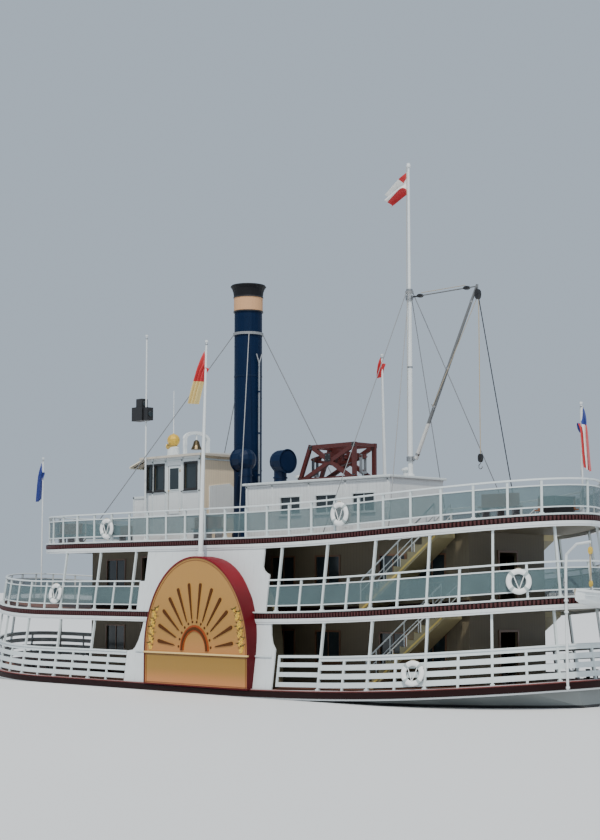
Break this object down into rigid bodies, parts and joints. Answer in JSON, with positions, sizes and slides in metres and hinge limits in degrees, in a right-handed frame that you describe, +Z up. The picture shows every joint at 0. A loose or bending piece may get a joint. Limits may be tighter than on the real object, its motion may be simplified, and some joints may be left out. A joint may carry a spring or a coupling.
{
  "type": "side-wheel paddle boat",
  "caption": "Three-deck side-wheel paddle boat with amidships paddle boxes, a tall funnel, walking beam, mast, pilothouse and railed open promenades.",
  "frame": {"origin": "centre of the whole boat in plan, on the plane of its flat bottom", "axes": "+X forward to the bow, +Y to port, +Z up; the water surface is 1.05 m above the origin"},
  "size_m": [31.3399, 9.2, 19.69],
  "materials": {
    "white_paint": "gloss white paint",
    "deck_paint": "matt dark red deck paint",
    "hull_paint": "pale grey-white hull paint",
    "wall_paint": "satin cream paint",
    "paddle_box_paint": "satin golden tan paint",
    "wheel_paint": "matt red paint",
    "navy_paint": "gloss navy paint",
    "oxide_paint": "matt dark red paint",
    "gilt": "gilded metal on a white foot",
    "steel": "bare steel",
    "black_paint": "matt black paint",
    "door_wood": "varnished wood",
    "flag_red": "red and cream cloth",
    "flag_blue": "blue cloth"
  },
  "bodies": {
    "boat": {"hull": "hull_paint", "main_deck": "deck_paint", "middle_deck": "deck_paint", "top_deck": "deck_paint", "main_rail_fore": "white_paint", "main_rail_aft": "white_paint", "middle_rail_fore": "white_paint", "middle_rail_aft": "white_paint", "top_rail": "white_paint", "main_house": "wall_paint", "middle_house": "wall_paint", "stairs_to_middle_port": "white_paint", "stairs_to_middle_starboard": "white_paint", "stairs_to_top_port": "white_paint", "stairs_to_top_starboard": "white_paint", "paddle_box_port": "paddle_box_paint", "paddle_box_starboard": "paddle_box_paint", "engine": "steel", "boiler": "black_paint", "pilothouse": "white_paint", "pilothouse_roof": "white_paint", "deckhouse": "white_paint", "funnel": "navy_paint", "cowl_fore": "navy_paint", "cowl_aft": "navy_paint", "gallows_frame": "oxide_paint", "mast": "white_paint", "mast_stays": "steel", "funnel_stays": "steel", "jackstaff": "white_paint", "ensign_staff": "white_paint", "pilothouse_pole": "white_paint", "paddle_pole_port": "white_paint", "paddle_pole_starboard": "white_paint", "jack_flag": "flag_blue", "ensign": "flag_red", "mast_pennant": "flag_red", "paddle_flag_port": "flag_red", "paddle_flag_starboard": "flag_red", "belfry": "white_paint", "signal_ball": "gilt", "dinghy": "white_paint", "davit_port": "white_paint", "davit_starboard": "white_paint"},
    "paddle_wheels": {"paddle_shaft": "steel", "paddle_wheel_port": "wheel_paint", "paddle_wheel_starboard": "wheel_paint"},
    "walking_beam": {"walking_beam": "oxide_paint"},
    "crank_rod": {"crank_rod": "steel"},
    "piston_rod": {"piston_rod": "steel"},
    "rudder": {"rudder": "oxide_paint"},
    "boom": {"boom": "white_paint"},
    "gate_port": {"gate_port": "white_paint"},
    "gate_starboard": {"gate_starboard": "white_paint"},
    "house_door_port": {"house_door_port": "door_wood"},
    "house_door_starboard": {"house_door_starboard": "door_wood"},
    "pilothouse_door_port": {"pilothouse_door_port": "door_wood"},
    "pilothouse_door_starboard": {"pilothouse_door_starboard": "door_wood"}
  },
  "joints": [
    {"name": "paddle_turn", "type": "hinge", "parent": "boat", "child": "paddle_wheels", "pos_m": [-0.67, 0, 2.53], "axis": [0, 1, 0], "continuous": true},
    {"name": "beam_rock", "type": "hinge", "parent": "boat", "child": "walking_beam", "pos_m": [-3.285, 0, 9.4], "axis": [0, 1, 0], "range_deg": [-12, 12]},
    {"name": "crank_rod_swing", "type": "hinge", "parent": "walking_beam", "child": "crank_rod", "pos_m": [-2.085, 0, 9.4], "axis": [0, 1, 0], "range_deg": [-12, 12]},
    {"name": "piston_rod_swing", "type": "hinge", "parent": "walking_beam", "child": "piston_rod", "pos_m": [-4.485, 0, 9.4], "axis": [0, 1, 0], "range_deg": [-12, 12]},
    {"name": "rudder_turn", "type": "hinge", "parent": "boat", "child": "rudder", "pos_m": [-12.6, 0, 0.6], "axis": [0, 0, 1], "range_deg": [-35, 35]},
    {"name": "boom_slew", "type": "hinge", "parent": "boat", "child": "boom", "pos_m": [-6.735, 0, 9.18], "axis": [0, 0, 1], "range_deg": [-45, 45]},
    {"name": "gate_port_slide", "type": "slide", "parent": "boat", "child": "gate_port", "axis": [-0.999, 0, 0.045], "range_m": [0, 2.03]},
    {"name": "gate_starboard_slide", "type": "slide", "parent": "boat", "child": "gate_starboard", "axis": [-0.999, 0, 0.045], "range_m": [0, 2.03]},
    {"name": "house_door_port_swing", "type": "hinge", "parent": "boat", "child": "house_door_port", "pos_m": [4.512, 1.99, 2.3], "axis": [0, 0, 1], "range_deg": [0, 90]},
    {"name": "house_door_starboard_swing", "type": "hinge", "parent": "boat", "child": "house_door_starboard", "pos_m": [4.512, -1.99, 2.3], "axis": [0, 0, -1], "range_deg": [0, 90]},
    {"name": "pilothouse_door_port_swing", "type": "hinge", "parent": "boat", "child": "pilothouse_door_port", "pos_m": [3.892, 1.39, 8.5], "axis": [0, 0, 1], "range_deg": [0, 90]},
    {"name": "pilothouse_door_starboard_swing", "type": "hinge", "parent": "boat", "child": "pilothouse_door_starboard", "pos_m": [3.892, -1.39, 8.5], "axis": [0, 0, -1], "range_deg": [0, 90]}
  ],
  "couplings": [
    {"joint": "crank_rod_swing", "follows": "beam_rock", "ratio": -1},
    {"joint": "piston_rod_swing", "follows": "beam_rock", "ratio": -1}
  ]
}
